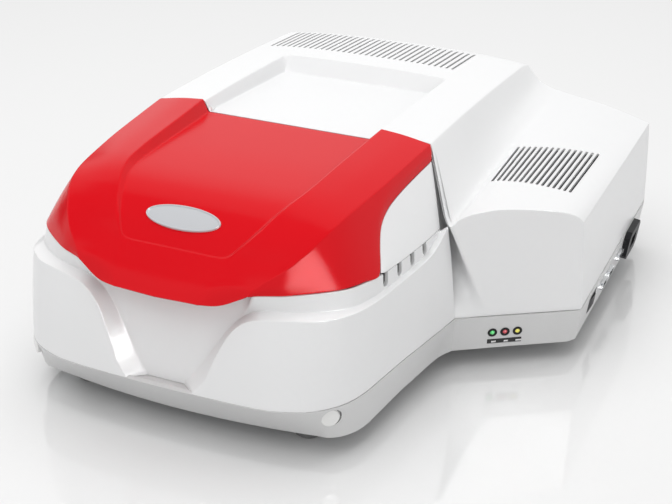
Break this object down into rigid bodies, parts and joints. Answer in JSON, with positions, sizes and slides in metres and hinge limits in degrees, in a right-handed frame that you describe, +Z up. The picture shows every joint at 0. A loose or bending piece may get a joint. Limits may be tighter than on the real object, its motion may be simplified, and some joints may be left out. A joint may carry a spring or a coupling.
{
  "type": "benchtop spectrophotometer",
  "caption": "Benchtop spectrophotometer: grey plinth, white moulded housing with lamp wing, hinged red hood over the sample chamber, optics inside.",
  "frame": {"origin": "middle of the bounding box, at the bench under the feet", "axes": "+Z up, the front with the hood's lip towards -Y, the lamp wing towards +X"},
  "size_m": [0.543, 0.6335, 0.243],
  "materials": {
    "plinth": "satin",
    "bottom_plate": "satin",
    "rubber_feet": "matte",
    "corner_plugs": "satin",
    "led_bezels": "gloss",
    "led_green": "gloss",
    "led_red": "gloss",
    "led_yellow": "gloss",
    "led_label": "gloss",
    "switch_frame": "satin",
    "power_rocker": "satin",
    "serial_ports": "polished",
    "port_pins": "satin",
    "mains_inlet": "satin",
    "front_bumper": "satin",
    "housing_cover": "satin",
    "lamp_front": "satin",
    "rear_panel": "satin",
    "hood": "gloss",
    "hood_cheeks": "satin",
    "hood_badge": "satin",
    "hood_liner": "matte",
    "hinge_arms": "satin",
    "hinge_brackets": "brushed",
    "hinge_pins": "polished",
    "sample_tub": "matte",
    "sample_deck": "satin",
    "chamber_seal": "matte",
    "beam_windows": "polished",
    "cell_holder": "anodised",
    "detectors": "satin",
    "fold_mirrors": "polished",
    "bulkhead": "matte",
    "optics_base": "cast",
    "monochromator": "matte",
    "slits": "brushed",
    "collimators": "polished",
    "grating": "ruled",
    "grating_shaft": "turned",
    "grating_motor": "satin",
    "filter_wheel": "anodised",
    "filter_motor": "satin",
    "beam_splitter": "polished",
    "relay_mirror": "polished",
    "lamp_house": "brushed",
    "halogen_lamp": "polished",
    "deuterium_lamp": "polished",
    "lamp_mirror": "polished",
    "mirror_motor": "satin",
    "power_supply": "brushed",
    "power_stage": "satin",
    "main_board": "satin",
    "fan_frame": "matte",
    "fan_rotor": "matte",
    "fan_guard": "polished"
  },
  "bodies": {
    "base": {"plinth": "plinth", "bottom_plate": "bottom_plate", "rubber_feet": "rubber_feet", "corner_plugs": "corner_plugs", "led_bezels": "led_bezels", "led_green": "led_green", "led_red": "led_red", "led_yellow": "led_yellow", "led_label": "led_label", "switch_frame": "switch_frame", "serial_ports": "serial_ports", "port_pins": "port_pins", "mains_inlet": "mains_inlet", "front_bumper": "front_bumper", "housing_cover": "housing_cover", "lamp_front": "lamp_front", "rear_panel": "rear_panel", "hinge_brackets": "hinge_brackets", "hinge_pins": "hinge_pins", "sample_tub": "sample_tub", "sample_deck": "sample_deck", "chamber_seal": "chamber_seal", "beam_windows": "beam_windows", "cell_holder": "cell_holder", "detectors": "detectors", "fold_mirrors": "fold_mirrors", "bulkhead": "bulkhead", "optics_base": "optics_base", "monochromator": "monochromator", "slits": "slits", "collimators": "collimators", "grating_motor": "grating_motor", "filter_motor": "filter_motor", "beam_splitter": "beam_splitter", "relay_mirror": "relay_mirror", "lamp_house": "lamp_house", "halogen_lamp": "halogen_lamp", "deuterium_lamp": "deuterium_lamp", "mirror_motor": "mirror_motor", "power_supply": "power_supply", "power_stage": "power_stage", "main_board": "main_board", "fan_frame": "fan_frame", "fan_guard": "fan_guard"},
    "hood": {"hood": "hood", "hood_cheeks": "hood_cheeks", "hood_badge": "hood_badge", "hood_liner": "hood_liner", "hinge_arms": "hinge_arms"},
    "rocker": {"power_rocker": "power_rocker"},
    "fan_rotor": {"fan_rotor": "fan_rotor"},
    "grating_table": {"grating": "grating", "grating_shaft": "grating_shaft"},
    "filter_wheel": {"filter_wheel": "filter_wheel"},
    "lamp_selector": {"lamp_mirror": "lamp_mirror"}
  },
  "joints": [
    {"name": "hood_hinge", "type": "hinge", "parent": "base", "child": "hood", "pos_m": [-0.0575, 0.01075, 0.222], "axis": [-1, 0, 0], "range_deg": [0, 75]},
    {"name": "rocker_tilt", "type": "hinge", "parent": "base", "child": "rocker", "pos_m": [0.26287, 0.06467, 0.04242], "axis": [0.1443, 0.004, 0.9895], "range_deg": [0, 9]},
    {"name": "fan_spin", "type": "hinge", "parent": "base", "child": "fan_rotor", "pos_m": [-0.1495, 0.29975, 0.128], "axis": [0, 1, 0], "continuous": true},
    {"name": "grating_turn", "type": "hinge", "parent": "base", "child": "grating_table", "pos_m": [-0.1035, 0.19375, 0.09], "axis": [0, 0, 1], "range_deg": [-20, 20]},
    {"name": "filter_wheel_spin", "type": "hinge", "parent": "base", "child": "filter_wheel", "pos_m": [-0.0055, 0.18175, 0.118], "axis": [1, 0, 0], "continuous": true},
    {"name": "lamp_selector_turn", "type": "hinge", "parent": "base", "child": "lamp_selector", "pos_m": [0.1785, 0.20575, 0.09], "axis": [0, 0, 1], "range_deg": [0, 45]}
  ]
}
